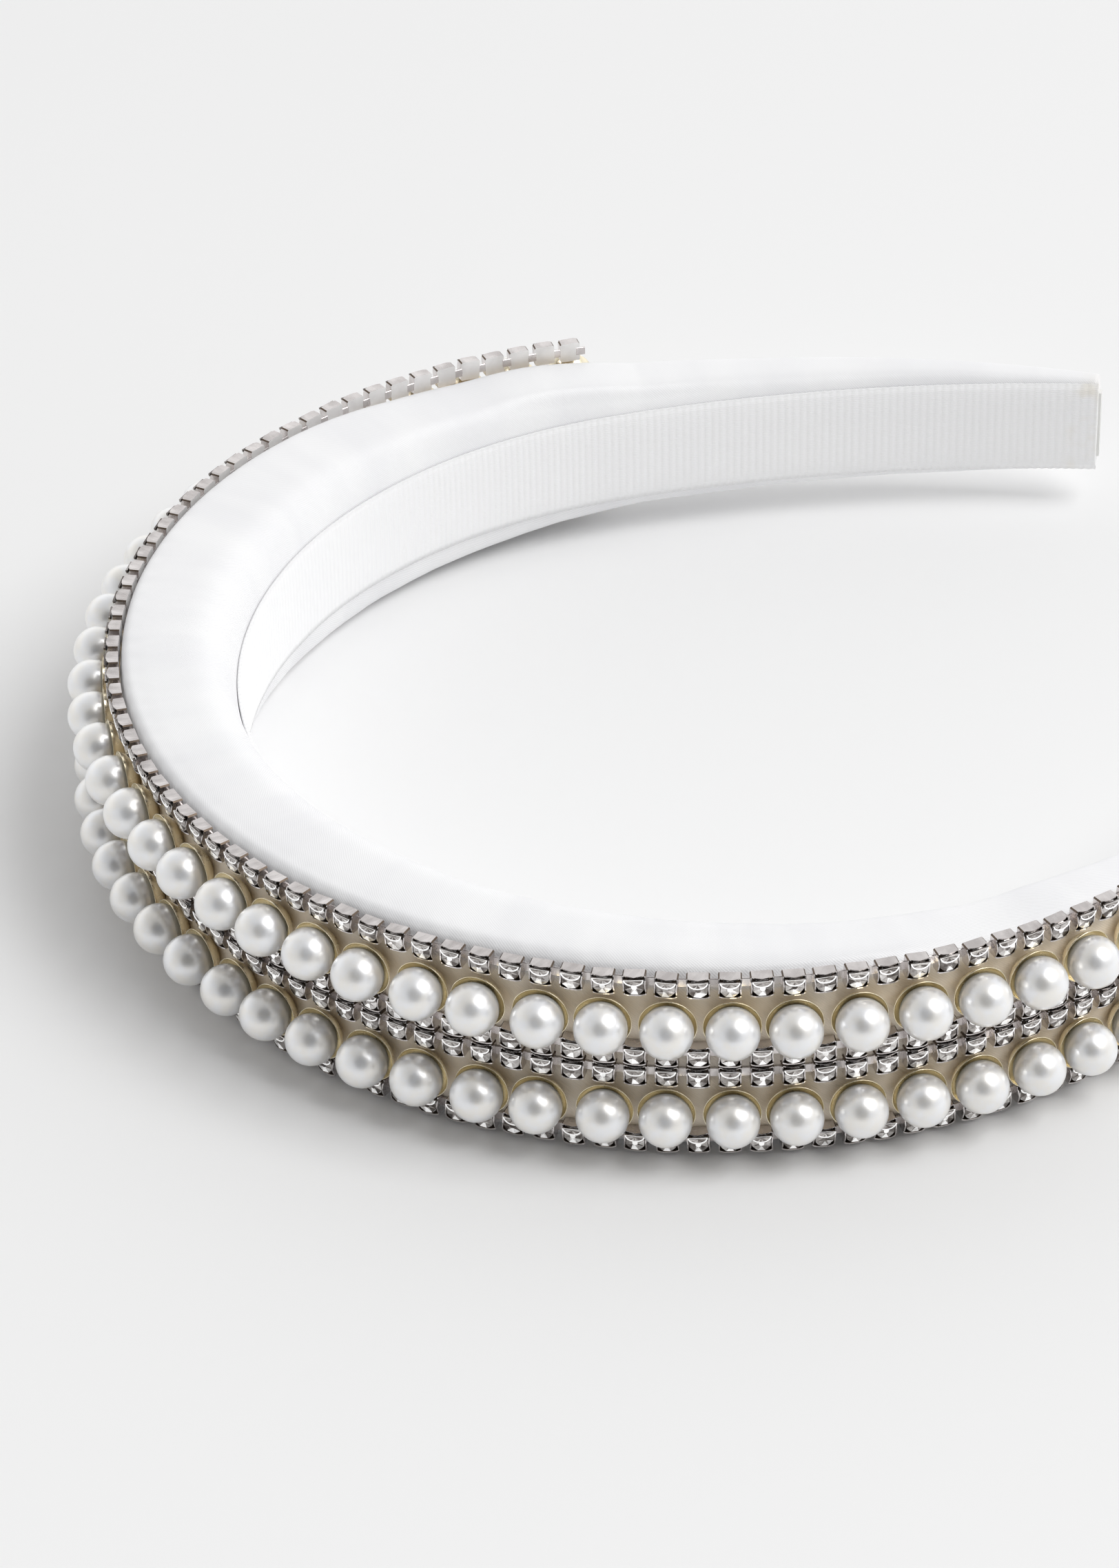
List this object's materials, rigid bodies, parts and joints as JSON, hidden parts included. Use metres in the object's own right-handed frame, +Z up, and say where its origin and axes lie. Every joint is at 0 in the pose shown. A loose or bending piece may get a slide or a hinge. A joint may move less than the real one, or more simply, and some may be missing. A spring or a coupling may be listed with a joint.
{
  "type": "headband",
  "caption": "Padded satin headband on a spring core, ribbon lined, with rows of stone-set cup chain and pearls round its outer face.",
  "frame": {"origin": "centre of the bounding box in plan, on the surface that the lower edge lies on", "axes": "+Z up across the band's width, crown towards -Y, tips towards +Y, X across the head"},
  "size_m": [0.1538, 0.155, 0.0253],
  "materials": {
    "core_plastic": "plain",
    "foam": "open-cell foam",
    "satin": "white satin",
    "grosgrain": "white ribbed ribbon",
    "silver_plate": "bright plated",
    "clear_stone": "cut and foiled",
    "pearl": "pearlescent white",
    "gold_plate": "pale gold plated"
  },
  "bodies": {
    "root": {"core_band": "core_plastic", "foam_pad": "foam", "satin_cover": "satin", "ribbon_lining": "grosgrain", "top_chain_cups": "silver_plate", "top_chain_stones": "clear_stone", "top_chain_links": "silver_plate", "upper_mid_chain_cups": "silver_plate", "upper_mid_chain_stones": "clear_stone", "upper_mid_chain_links": "silver_plate", "lower_mid_chain_cups": "silver_plate", "lower_mid_chain_stones": "clear_stone", "lower_mid_chain_links": "silver_plate", "bottom_chain_cups": "silver_plate", "bottom_chain_stones": "clear_stone", "bottom_chain_links": "silver_plate", "upper_pearls": "pearl", "upper_pearl_settings": "gold_plate", "lower_pearls": "pearl", "lower_pearl_settings": "gold_plate"}
  },
  "joints": []
}
